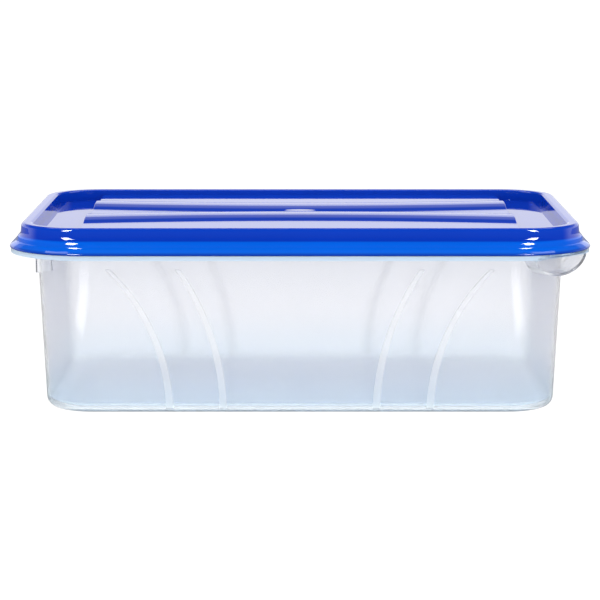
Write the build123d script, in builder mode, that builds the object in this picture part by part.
"""Snap lid food container: a clear drafted tub and the lid that snaps over its rim.

Millimetres. X is the length, Y the depth with the front at -Y, and Z is up from the table under the tub.
"""

import os
from math import cos, radians, sin, tan

from build123d import *

os.makedirs("parts", exist_ok=True)

# Plan outline shared by the lid's lip and the tub's flange. An inset is measured inwards from this outline.
LENGTH = 283.0
DEPTH = 182.0
CORNER_RADIUS = 39.5

# Tub body
BASE_LENGTH = 249.4
BASE_DEPTH = 146.8
BASE_CORNER_RADIUS = 24.0
DRAFT = 2.72  # degrees that each wall leans out
TUB_WALL = 1.3
BASE_EDGE_RADIUS = 5.0
FOOT_RING_WIDTH = 9.0
FLOOR_RECESS = 0.8  # how far the floor stands off the table inside the foot ring
FLOOR_THICKNESS = 1.5
GATE_DIAMETER = 9.5
GATE_DEPTH = 0.6

# Tub flange and the upstand that rises from it into the lid's channel
FLANGE_TOP = 79.4
FLANGE_THICKNESS = 1.2
FLANGE_INSET = 0.4
SKIRT_BOTTOM = 77.2
SKIRT_WALL = 1.2
UPSTAND_INSET = 8.6
UPSTAND_CORNER_RADIUS = 25.9
UPSTAND_WALL = 1.4
UPSTAND_TOP = 90.4
UPSTAND_EDGE_RADIUS = 0.45
SNAP_BEAD = 0.4  # how far the bead round the upstand stands out
SNAP_BEAD_HEIGHT = 88.8

# Curved ribs on the long walls: X at the table, and where each has curved out to at RIB_TOP
RIBS = ((37.0, 58.5, 128.0), (63.0, 92.0, 101.0))  # base X, top X, radius
RIB_START = 2.5
RIB_TOP = 71.0
RIB_BASE_WIDTH = 3.7
RIB_TOP_WIDTH = 2.4
RIB_HEIGHT = 0.6

# Half-round lug under the flange at the +X -Y corner. Distances run along the corner's diagonal from the centre
# of the flange's corner arc.
LUG_FACE = 33.1
LUG_BACK = 23.5
LUG_HALF_WIDTH = 19.2
LUG_BACK_HALF_WIDTH = 16.5
LUG_BOTTOM = 67.8
LUG_WALL = 1.2

# Gussets under the flange at the other three corners, across the same diagonals
GUSSET_OUTER = 34.2
GUSSET_INNER = 20.7
GUSSET_BOTTOM = 69.5
GUSSET_THICKNESS = 1.2

# Lid
LID_WALL = 1.2
LID_TOP = 91.95
# The skirt's outside, from the lip up to the rim. The rim's corners are tighter than an even inset would give.
SKIRT_BENDS = (  # inset, corner radius, height
    (0.0, 39.5, 79.6),
    (0.0, 39.5, 80.4),
    (3.5, 36.0, 82.4),
    (3.9, 34.0, 84.8),
    (5.9, 28.5, 87.0),
    (6.3, 28.2, 91.0),
    (7.4, 27.1, 91.95),
)
# The inside of the same skirt, with the bead that snaps under the tub's.
HOLLOW_BENDS = (
    (1.2, 38.3, 79.6),
    (1.2, 38.3, 79.7),
    (4.6, 34.9, 81.7),
    (5.0, 32.9, 84.3),
    (7.1, 27.3, 86.5),
    (7.7, 26.8, 87.1),
    (7.2, 27.3, 87.7),
    (7.5, 27.0, 90.75),
)
CHANNEL_INSET = 12.0  # inner side of the rim
CHANNEL_CORNER_RADIUS = 22.4
CHANNEL_EDGE_RADIUS = 0.8
POCKET_FLOOR = 86.5
PLATEAU_TOP = 89.3
PLATEAU_LENGTH = 213.0

# Two ridges on the plateau, bowed towards each other
RIDGE_MIDDLE_Y = 18.5
RIDGE_END_Y = 28.5
RIDGE_WIDTH = 35.0
RIDGE_HEIGHT = 2.2
BAR_SWEEP = 24  # degrees of arc, a little more than the ridges need before they are cut to length
BADGE_LENGTH = 16.0
BADGE_WIDTH = 8.0
BADGE_HEIGHT = 0.4

PLATE_BOTTOM = FLANGE_TOP - FLANGE_THICKNESS
FLOOR_TOP = FLOOR_RECESS + FLOOR_THICKNESS
ARC_CENTRE_X = LENGTH / 2 - CORNER_RADIUS
ARC_CENTRE_Y = DEPTH / 2 - CORNER_RADIUS
DIAGONAL = radians(45)


def plan(inset, radius, mode=Mode.ADD):
    """The shared outline moved inwards and with its own corner radius, as a filled sketch."""
    RectangleRounded(LENGTH - 2 * inset, DEPTH - 2 * inset, radius, mode=mode)


def corner_plane(distance, x_sign=1, y_sign=-1):
    """A plane across a corner's diagonal. Its local Y is up, and its origin is at table height."""
    outwards = Vector(x_sign * cos(DIAGONAL), y_sign * sin(DIAGONAL), 0)
    centre = Vector(x_sign * ARC_CENTRE_X, y_sign * ARC_CENTRE_Y, 0)
    return Plane(centre + outwards * distance, x_dir=(-outwards.Y, outwards.X, 0), z_dir=outwards)


# ---- tub --------------------------------------------------------------------------------------------------

with BuildPart() as body:
    with BuildSketch():
        RectangleRounded(BASE_LENGTH, BASE_DEPTH, BASE_CORNER_RADIUS)
    extrude(amount=FLANGE_TOP, taper=-DRAFT)
    fillet(body.edges().group_by(Axis.Z)[0], BASE_EDGE_RADIUS)

# The inside, with the walls' draft and a rounded edge round its floor.
with BuildPart() as cavity:
    floor_inset = TUB_WALL - FLOOR_TOP * tan(radians(DRAFT))
    with BuildSketch(Plane.XY.offset(FLOOR_TOP)):
        RectangleRounded(
            BASE_LENGTH - 2 * floor_inset,
            BASE_DEPTH - 2 * floor_inset,
            BASE_CORNER_RADIUS - floor_inset,
        )
    extrude(amount=FLANGE_TOP - FLOOR_TOP, taper=-DRAFT)
    fillet(cavity.edges().group_by(Axis.Z)[0], BASE_EDGE_RADIUS - TUB_WALL)

with BuildPart() as lug:
    for distance, half_width in ((LUG_FACE, LUG_HALF_WIDTH), (LUG_BACK, LUG_BACK_HALF_WIDTH)):
        with BuildSketch(corner_plane(distance)):
            with Locations((0, PLATE_BOTTOM)):
                Ellipse(half_width, PLATE_BOTTOM - LUG_BOTTOM)
    loft()
    split(bisect_by=Plane.XY.offset(PLATE_BOTTOM), keep=Keep.BOTTOM)

with BuildPart() as lug_hollow:
    for distance, half_width in ((LUG_FACE, LUG_HALF_WIDTH), (LUG_BACK, LUG_BACK_HALF_WIDTH)):
        inner = distance - LUG_WALL
        with BuildSketch(corner_plane(inner)):
            with Locations((0, PLATE_BOTTOM)):
                Ellipse(half_width - LUG_WALL, PLATE_BOTTOM - LUG_BOTTOM - LUG_WALL)
    loft()
    split(bisect_by=Plane.XY.offset(PLATE_BOTTOM), keep=Keep.BOTTOM)

with BuildPart() as tub:
    with BuildSketch(Plane.XY.offset(PLATE_BOTTOM)):
        plan(FLANGE_INSET, CORNER_RADIUS)
    extrude(amount=FLANGE_THICKNESS)

    # Skirt under the flange's edge, left out along the lug.
    with BuildSketch(Plane.XY.offset(SKIRT_BOTTOM)):
        plan(FLANGE_INSET, CORNER_RADIUS)
        plan(FLANGE_INSET + SKIRT_WALL, CORNER_RADIUS - SKIRT_WALL, mode=Mode.SUBTRACT)
        with Locations(Location((ARC_CENTRE_X, -ARC_CENTRE_Y), -45)):
            Rectangle(
                2 * CORNER_RADIUS,
                2 * LUG_HALF_WIDTH,
                align=(Align.MIN, Align.CENTER),
                mode=Mode.SUBTRACT,
            )
    extrude(amount=PLATE_BOTTOM - SKIRT_BOTTOM)

    # Upstand, and the snap bead round it.
    with BuildSketch(Plane.XY.offset(PLATE_BOTTOM)):
        plan(UPSTAND_INSET, UPSTAND_CORNER_RADIUS)
        plan(UPSTAND_INSET + UPSTAND_WALL, UPSTAND_CORNER_RADIUS - UPSTAND_WALL, mode=Mode.SUBTRACT)
    extrude(amount=UPSTAND_TOP - PLATE_BOTTOM)
    fillet(tub.edges().group_by(Axis.Z)[-1], UPSTAND_EDGE_RADIUS)
    with BuildSketch(Plane.XY.offset(SNAP_BEAD_HEIGHT - SNAP_BEAD)):
        plan(UPSTAND_INSET - SNAP_BEAD, UPSTAND_CORNER_RADIUS + SNAP_BEAD)
        plan(UPSTAND_INSET + UPSTAND_WALL / 2, UPSTAND_CORNER_RADIUS - UPSTAND_WALL / 2, mode=Mode.SUBTRACT)
    extrude(amount=2 * SNAP_BEAD)

    # The lug's hollow opens through the upstand, just inside the rim.
    add(lug.part)
    add(lug_hollow.part, mode=Mode.SUBTRACT)
    with BuildSketch(Plane.XY.offset(PLATE_BOTTOM)):
        plan(UPSTAND_INSET + UPSTAND_WALL, UPSTAND_CORNER_RADIUS - UPSTAND_WALL)
        with Locations(Location((ARC_CENTRE_X, -ARC_CENTRE_Y), -45)):
            Rectangle(
                2 * CORNER_RADIUS,
                LUG_BACK_HALF_WIDTH,
                align=(Align.MIN, Align.CENTER),
                mode=Mode.INTERSECT,
            )
    extrude(amount=FLANGE_THICKNESS, mode=Mode.SUBTRACT)

    # Gussets at the other corners.
    for x_sign, y_sign in ((-1, -1), (-1, 1), (1, 1)):
        with BuildSketch(corner_plane(GUSSET_OUTER, x_sign, y_sign)):
            with Locations((0, PLATE_BOTTOM)):
                Rectangle(
                    GUSSET_THICKNESS,
                    PLATE_BOTTOM - GUSSET_BOTTOM,
                    align=(Align.CENTER, Align.MAX),
                )
        extrude(amount=GUSSET_INNER - GUSSET_OUTER)

    add(body.part)

    # Curved ribs on the front and back walls, in the plane of each drafted wall.
    for side in (-1, 1):
        lean = radians(DRAFT)
        wall = Plane(
            (0, side * BASE_DEPTH / 2, 0),
            x_dir=(-side, 0, 0),
            z_dir=(0, side * cos(lean), -sin(lean)),
        )
        with BuildSketch(wall.offset(-TUB_WALL / 2)):
            for base_x, top_x, radius in RIBS:
                with BuildLine():
                    base_left = (base_x - RIB_BASE_WIDTH / 2, RIB_START)
                    base_right = (base_x + RIB_BASE_WIDTH / 2, RIB_START)
                    top_left = (top_x - RIB_TOP_WIDTH / 2, RIB_TOP)
                    top_right = (top_x + RIB_TOP_WIDTH / 2, RIB_TOP)
                    RadiusArc(base_left, top_left, radius)
                    Line(top_left, top_right)
                    RadiusArc(base_right, top_right, radius)
                    Line(base_left, base_right)
                make_face()
            mirror(about=Plane.YZ)
        extrude(amount=RIB_HEIGHT + TUB_WALL / 2)

    add(cavity.part, mode=Mode.SUBTRACT)

    # Shallow recess under the floor inside the foot ring, and the gate mark in the middle of the floor.
    with BuildSketch():
        RectangleRounded(
            BASE_LENGTH - 2 * FOOT_RING_WIDTH,
            BASE_DEPTH - 2 * FOOT_RING_WIDTH,
            BASE_CORNER_RADIUS - FOOT_RING_WIDTH,
        )
    extrude(amount=FLOOR_RECESS, mode=Mode.SUBTRACT)
    with BuildSketch(Plane.XY.offset(FLOOR_TOP)):
        Circle(GATE_DIAMETER / 2)
    extrude(amount=-GATE_DEPTH, mode=Mode.SUBTRACT)

tub.part.label = "tub"
export_step(tub.part, "parts/tub.step")

# ---- lid --------------------------------------------------------------------------------------------------

# One ridge's arc passes through its middle and ends, so its centre lies far out in Y.
ridge_bow = RIDGE_END_Y - RIDGE_MIDDLE_Y
ridge_radius = ((PLATEAU_LENGTH / 2) ** 2 + ridge_bow**2) / (2 * ridge_bow)
crest_radius = ((RIDGE_WIDTH / 2) ** 2 + RIDGE_HEIGHT**2) / (2 * RIDGE_HEIGHT)
crest_centre = PLATEAU_TOP + RIDGE_HEIGHT - crest_radius


def bent_bars(section_radius, length):
    """The tops of round bars along both ridges' arcs, cut to a length along X."""
    with BuildPart() as bars:
        for side in (-1, 1):
            start = radians(-side * BAR_SWEEP / 2)
            towards_bar = Vector(sin(start), -side * cos(start), 0)
            arc_centre = Vector(0, side * (RIDGE_MIDDLE_Y + ridge_radius), crest_centre)
            start_plane = Plane(arc_centre, x_dir=towards_bar, z_dir=towards_bar.cross(Vector(0, 0, 1)))
            with BuildSketch(start_plane):
                with Locations((ridge_radius, 0)):
                    Circle(section_radius)
            revolve(axis=Axis(arc_centre, (0, 0, 1)), revolution_arc=BAR_SWEEP)
        split(bisect_by=Plane.YZ.offset(length / 2), keep=Keep.BOTTOM)
        split(bisect_by=Plane.YZ.offset(-length / 2), keep=Keep.TOP)
        split(bisect_by=Plane.XY.offset(PLATEAU_TOP - LID_WALL), keep=Keep.TOP)
    return bars.part


hollow_length = PLATEAU_LENGTH - 2 * LID_WALL
ridges = bent_bars(crest_radius, PLATEAU_LENGTH)
ridge_hollows = bent_bars(crest_radius - LID_WALL, hollow_length)


def loft_bends(bends):
    """A solid through the shared outline at each bend: its inset, corner radius and height."""
    with BuildPart() as solid:
        for inset, radius, height in bends:
            with BuildSketch(Plane.XY.offset(height)):
                plan(inset, radius)
        loft(ruled=True)
    return solid.part


skirt = loft_bends(SKIRT_BENDS)
skirt_hollow = loft_bends(HOLLOW_BENDS)

with BuildPart() as lid:
    add(skirt)
    add(skirt_hollow, mode=Mode.SUBTRACT)

    # Sink the middle inside the rim, down to a thin plate at the height of the end pockets.
    with BuildSketch(Plane.XY.offset(POCKET_FLOOR - LID_WALL)):
        plan(CHANNEL_INSET - LID_WALL, CHANNEL_CORNER_RADIUS + LID_WALL)
    extrude(amount=LID_TOP - POCKET_FLOOR)
    with BuildSketch(Plane.XY.offset(POCKET_FLOOR)):
        plan(CHANNEL_INSET, CHANNEL_CORNER_RADIUS)
    extrude(amount=LID_TOP - POCKET_FLOOR, mode=Mode.SUBTRACT)
    fillet(lid.faces().sort_by(Axis.Z)[-1].inner_wires().edges(), CHANNEL_EDGE_RADIUS)

    # A plateau fills the channel from side to side between the end pockets. Two ridges and a blank badge
    # stand on it, and all of it is hollow below.
    with BuildSketch(Plane.XY.offset(POCKET_FLOOR)):
        Rectangle(PLATEAU_LENGTH, DEPTH - 2 * CHANNEL_INSET + LID_WALL)
    extrude(amount=PLATEAU_TOP - POCKET_FLOOR)
    add(ridges)
    with BuildSketch(Plane.XY.offset(PLATEAU_TOP)):
        Ellipse(BADGE_LENGTH / 2, BADGE_WIDTH / 2)
    extrude(amount=BADGE_HEIGHT)
    with BuildSketch(Plane.XY.offset(POCKET_FLOOR - LID_WALL)):
        Rectangle(hollow_length, DEPTH - 2 * CHANNEL_INSET - 2 * LID_WALL)
    extrude(amount=PLATEAU_TOP - POCKET_FLOOR, mode=Mode.SUBTRACT)
    add(ridge_hollows, mode=Mode.SUBTRACT)

lid.part.label = "lid"
export_step(lid.part, "parts/lid.step")
